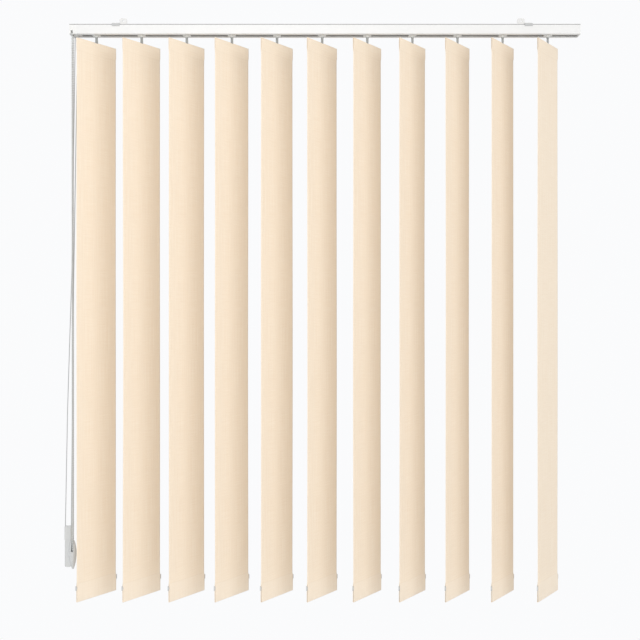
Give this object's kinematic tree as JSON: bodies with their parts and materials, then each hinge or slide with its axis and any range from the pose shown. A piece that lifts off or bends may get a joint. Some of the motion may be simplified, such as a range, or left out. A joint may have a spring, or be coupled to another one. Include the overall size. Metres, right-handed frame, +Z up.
{
  "type": "vertical blind",
  "caption": "Wall-hung vertical blind: fabric vanes on worm-driven carriers in a white rail, tilted by a bead chain and drawn by a looped cord.",
  "frame": {"origin": "on the wall plane, at the centre of the four bracket holes", "axes": "+X to the right seen from the room, +Y into the wall, +Z up"},
  "size_m": [1.312, 0.13, 1.4962],
  "materials": {
    "white_paint": "satin",
    "white_plastic": "satin",
    "weight_plastic": "glossy",
    "chain_plastic": "glossy",
    "steel": "zinc plated",
    "rod_aluminium": "extruded",
    "cord_braid": "braided",
    "vane_fabric": "plain weave"
  },
  "bodies": {
    "rail_unit": {"head_rail": "white_paint", "control_housing": "white_plastic", "control_cover": "white_plastic", "return_end_cap": "white_plastic", "return_pulley_pin": "steel", "wall_brackets": "white_paint", "rail_clips": "white_paint", "clip_screws": "steel", "tilt_chain": "chain_plastic", "chain_weight": "weight_plastic", "draw_cord": "cord_braid", "draw_cord_run": "cord_braid", "cord_weight": "weight_plastic", "carrier_01": "white_plastic"},
    "rod_unit": {"tilt_rod": "rod_aluminium", "chain_sprocket": "white_plastic"},
    "pulley": {"return_pulley": "white_plastic"},
    "worm_body_01": {"worm_01": "white_plastic"},
    "vane_body_01": {"vane_fittings_01": "white_plastic", "vane_01": "vane_fabric"},
    "carrier_body_02": {"carrier_02": "white_plastic"},
    "worm_body_02": {"worm_02": "white_plastic"},
    "vane_body_02": {"vane_fittings_02": "white_plastic", "vane_02": "vane_fabric"},
    "carrier_body_03": {"carrier_03": "white_plastic"},
    "worm_body_03": {"worm_03": "white_plastic"},
    "vane_body_03": {"vane_fittings_03": "white_plastic", "vane_03": "vane_fabric"},
    "carrier_body_04": {"carrier_04": "white_plastic"},
    "worm_body_04": {"worm_04": "white_plastic"},
    "vane_body_04": {"vane_fittings_04": "white_plastic", "vane_04": "vane_fabric"},
    "carrier_body_05": {"carrier_05": "white_plastic"},
    "worm_body_05": {"worm_05": "white_plastic"},
    "vane_body_05": {"vane_fittings_05": "white_plastic", "vane_05": "vane_fabric"},
    "carrier_body_06": {"carrier_06": "white_plastic"},
    "worm_body_06": {"worm_06": "white_plastic"},
    "vane_body_06": {"vane_fittings_06": "white_plastic", "vane_06": "vane_fabric"},
    "carrier_body_07": {"carrier_07": "white_plastic"},
    "worm_body_07": {"worm_07": "white_plastic"},
    "vane_body_07": {"vane_fittings_07": "white_plastic", "vane_07": "vane_fabric"},
    "carrier_body_08": {"carrier_08": "white_plastic"},
    "worm_body_08": {"worm_08": "white_plastic"},
    "vane_body_08": {"vane_fittings_08": "white_plastic", "vane_08": "vane_fabric"},
    "carrier_body_09": {"carrier_09": "white_plastic"},
    "worm_body_09": {"worm_09": "white_plastic"},
    "vane_body_09": {"vane_fittings_09": "white_plastic", "vane_09": "vane_fabric"},
    "carrier_body_10": {"carrier_10": "white_plastic"},
    "worm_body_10": {"worm_10": "white_plastic"},
    "vane_body_10": {"vane_fittings_10": "white_plastic", "vane_10": "vane_fabric"},
    "carrier_body_11": {"carrier_11": "white_plastic"},
    "worm_body_11": {"worm_11": "white_plastic"},
    "vane_body_11": {"vane_fittings_11": "white_plastic", "vane_11": "vane_fabric"}
  },
  "joints": [
    {"name": "carrier_11_traverse", "type": "slide", "parent": "rail_unit", "child": "carrier_body_11", "axis": [-1, 0, 0], "range_m": [0, 0.93]},
    {"name": "carrier_10_traverse", "type": "slide", "parent": "rail_unit", "child": "carrier_body_10", "axis": [-1, 0, 0], "range_m": [0, 0.8375]},
    {"name": "carrier_09_traverse", "type": "slide", "parent": "rail_unit", "child": "carrier_body_09", "axis": [-1, 0, 0], "range_m": [0, 0.7445]},
    {"name": "carrier_08_traverse", "type": "slide", "parent": "rail_unit", "child": "carrier_body_08", "axis": [-1, 0, 0], "range_m": [0, 0.6515]},
    {"name": "carrier_07_traverse", "type": "slide", "parent": "rail_unit", "child": "carrier_body_07", "axis": [-1, 0, 0], "range_m": [0, 0.5585]},
    {"name": "carrier_06_traverse", "type": "slide", "parent": "rail_unit", "child": "carrier_body_06", "axis": [-1, 0, 0], "range_m": [0, 0.4655]},
    {"name": "carrier_05_traverse", "type": "slide", "parent": "rail_unit", "child": "carrier_body_05", "axis": [-1, 0, 0], "range_m": [0, 0.3725]},
    {"name": "carrier_04_traverse", "type": "slide", "parent": "rail_unit", "child": "carrier_body_04", "axis": [-1, 0, 0], "range_m": [0, 0.2795]},
    {"name": "carrier_03_traverse", "type": "slide", "parent": "rail_unit", "child": "carrier_body_03", "axis": [-1, 0, 0], "range_m": [0, 0.1865]},
    {"name": "carrier_02_traverse", "type": "slide", "parent": "rail_unit", "child": "carrier_body_02", "axis": [-1, 0, 0], "range_m": [0, 0.0935]},
    {"name": "vane_01_tilt", "type": "hinge", "parent": "rail_unit", "child": "vane_body_01", "pos_m": [-0.575, -0.075, -0.0388], "axis": [0, 0, 1], "range_deg": [-36, 108]},
    {"name": "worm_01_spin", "type": "hinge", "parent": "rail_unit", "child": "worm_body_01", "pos_m": [-0.575, -0.0836, -0.0388], "axis": [1, 0, 0], "range_deg": [-1080, 360]},
    {"name": "vane_02_tilt", "type": "hinge", "parent": "carrier_body_02", "child": "vane_body_02", "pos_m": [-0.46, -0.075, -0.0388], "axis": [0, 0, 1], "range_deg": [-36, 108]},
    {"name": "worm_02_spin", "type": "hinge", "parent": "carrier_body_02", "child": "worm_body_02", "pos_m": [-0.46, -0.0836, -0.0388], "axis": [1, 0, 0], "range_deg": [-1080, 360]},
    {"name": "vane_03_tilt", "type": "hinge", "parent": "carrier_body_03", "child": "vane_body_03", "pos_m": [-0.345, -0.075, -0.0388], "axis": [0, 0, 1], "range_deg": [-36, 108]},
    {"name": "worm_03_spin", "type": "hinge", "parent": "carrier_body_03", "child": "worm_body_03", "pos_m": [-0.345, -0.0836, -0.0388], "axis": [1, 0, 0], "range_deg": [-1080, 360]},
    {"name": "vane_04_tilt", "type": "hinge", "parent": "carrier_body_04", "child": "vane_body_04", "pos_m": [-0.23, -0.075, -0.0388], "axis": [0, 0, 1], "range_deg": [-36, 108]},
    {"name": "worm_04_spin", "type": "hinge", "parent": "carrier_body_04", "child": "worm_body_04", "pos_m": [-0.23, -0.0836, -0.0388], "axis": [1, 0, 0], "range_deg": [-1080, 360]},
    {"name": "vane_05_tilt", "type": "hinge", "parent": "carrier_body_05", "child": "vane_body_05", "pos_m": [-0.115, -0.075, -0.0388], "axis": [0, 0, 1], "range_deg": [-36, 108]},
    {"name": "worm_05_spin", "type": "hinge", "parent": "carrier_body_05", "child": "worm_body_05", "pos_m": [-0.115, -0.0836, -0.0388], "axis": [1, 0, 0], "range_deg": [-1080, 360]},
    {"name": "vane_06_tilt", "type": "hinge", "parent": "carrier_body_06", "child": "vane_body_06", "pos_m": [0, -0.075, -0.0388], "axis": [0, 0, 1], "range_deg": [-36, 108]},
    {"name": "worm_06_spin", "type": "hinge", "parent": "carrier_body_06", "child": "worm_body_06", "pos_m": [0, -0.0836, -0.0388], "axis": [1, 0, 0], "range_deg": [-1080, 360]},
    {"name": "vane_07_tilt", "type": "hinge", "parent": "carrier_body_07", "child": "vane_body_07", "pos_m": [0.115, -0.075, -0.0388], "axis": [0, 0, 1], "range_deg": [-36, 108]},
    {"name": "worm_07_spin", "type": "hinge", "parent": "carrier_body_07", "child": "worm_body_07", "pos_m": [0.115, -0.0836, -0.0388], "axis": [1, 0, 0], "range_deg": [-1080, 360]},
    {"name": "vane_08_tilt", "type": "hinge", "parent": "carrier_body_08", "child": "vane_body_08", "pos_m": [0.23, -0.075, -0.0388], "axis": [0, 0, 1], "range_deg": [-36, 108]},
    {"name": "worm_08_spin", "type": "hinge", "parent": "carrier_body_08", "child": "worm_body_08", "pos_m": [0.23, -0.0836, -0.0388], "axis": [1, 0, 0], "range_deg": [-1080, 360]},
    {"name": "vane_09_tilt", "type": "hinge", "parent": "carrier_body_09", "child": "vane_body_09", "pos_m": [0.345, -0.075, -0.0388], "axis": [0, 0, 1], "range_deg": [-36, 108]},
    {"name": "worm_09_spin", "type": "hinge", "parent": "carrier_body_09", "child": "worm_body_09", "pos_m": [0.345, -0.0836, -0.0388], "axis": [1, 0, 0], "range_deg": [-1080, 360]},
    {"name": "vane_10_tilt", "type": "hinge", "parent": "carrier_body_10", "child": "vane_body_10", "pos_m": [0.46, -0.075, -0.0388], "axis": [0, 0, 1], "range_deg": [-36, 108]},
    {"name": "worm_10_spin", "type": "hinge", "parent": "carrier_body_10", "child": "worm_body_10", "pos_m": [0.46, -0.0836, -0.0388], "axis": [1, 0, 0], "range_deg": [-1080, 360]},
    {"name": "vane_11_tilt", "type": "hinge", "parent": "carrier_body_11", "child": "vane_body_11", "pos_m": [0.575, -0.075, -0.0388], "axis": [0, 0, 1], "range_deg": [-36, 108]},
    {"name": "worm_11_spin", "type": "hinge", "parent": "carrier_body_11", "child": "worm_body_11", "pos_m": [0.575, -0.0836, -0.0388], "axis": [1, 0, 0], "range_deg": [-1080, 360]},
    {"name": "tilt_rod_spin", "type": "hinge", "parent": "rail_unit", "child": "rod_unit", "pos_m": [0, -0.0836, -0.0388], "axis": [1, 0, 0], "range_deg": [-1080, 360]},
    {"name": "return_pulley_spin", "type": "hinge", "parent": "rail_unit", "child": "pulley", "pos_m": [0.638, -0.0626, -0.0388], "axis": [0, 1, 0], "continuous": true}
  ],
  "couplings": [
    {"joint": "carrier_10_traverse", "follows": "carrier_11_traverse", "ratio": 0.9},
    {"joint": "carrier_09_traverse", "follows": "carrier_11_traverse", "ratio": 0.8},
    {"joint": "carrier_08_traverse", "follows": "carrier_11_traverse", "ratio": 0.7},
    {"joint": "carrier_07_traverse", "follows": "carrier_11_traverse", "ratio": 0.6},
    {"joint": "carrier_06_traverse", "follows": "carrier_11_traverse", "ratio": 0.5},
    {"joint": "carrier_05_traverse", "follows": "carrier_11_traverse", "ratio": 0.4},
    {"joint": "carrier_04_traverse", "follows": "carrier_11_traverse", "ratio": 0.3},
    {"joint": "carrier_03_traverse", "follows": "carrier_11_traverse", "ratio": 0.2},
    {"joint": "carrier_02_traverse", "follows": "carrier_11_traverse", "ratio": 0.1},
    {"joint": "worm_01_spin", "follows": "vane_01_tilt", "ratio": -10},
    {"joint": "vane_02_tilt", "follows": "vane_01_tilt", "ratio": 1},
    {"joint": "worm_02_spin", "follows": "vane_01_tilt", "ratio": -10},
    {"joint": "vane_03_tilt", "follows": "vane_01_tilt", "ratio": 1},
    {"joint": "worm_03_spin", "follows": "vane_01_tilt", "ratio": -10},
    {"joint": "vane_04_tilt", "follows": "vane_01_tilt", "ratio": 1},
    {"joint": "worm_04_spin", "follows": "vane_01_tilt", "ratio": -10},
    {"joint": "vane_05_tilt", "follows": "vane_01_tilt", "ratio": 1},
    {"joint": "worm_05_spin", "follows": "vane_01_tilt", "ratio": -10},
    {"joint": "vane_06_tilt", "follows": "vane_01_tilt", "ratio": 1},
    {"joint": "worm_06_spin", "follows": "vane_01_tilt", "ratio": -10},
    {"joint": "vane_07_tilt", "follows": "vane_01_tilt", "ratio": 1},
    {"joint": "worm_07_spin", "follows": "vane_01_tilt", "ratio": -10},
    {"joint": "vane_08_tilt", "follows": "vane_01_tilt", "ratio": 1},
    {"joint": "worm_08_spin", "follows": "vane_01_tilt", "ratio": -10},
    {"joint": "vane_09_tilt", "follows": "vane_01_tilt", "ratio": 1},
    {"joint": "worm_09_spin", "follows": "vane_01_tilt", "ratio": -10},
    {"joint": "vane_10_tilt", "follows": "vane_01_tilt", "ratio": 1},
    {"joint": "worm_10_spin", "follows": "vane_01_tilt", "ratio": -10},
    {"joint": "vane_11_tilt", "follows": "vane_01_tilt", "ratio": 1},
    {"joint": "worm_11_spin", "follows": "vane_01_tilt", "ratio": -10},
    {"joint": "tilt_rod_spin", "follows": "vane_01_tilt", "ratio": -10},
    {"joint": "return_pulley_spin", "follows": "carrier_11_traverse", "rad_per_m": 192.31}
  ]
}
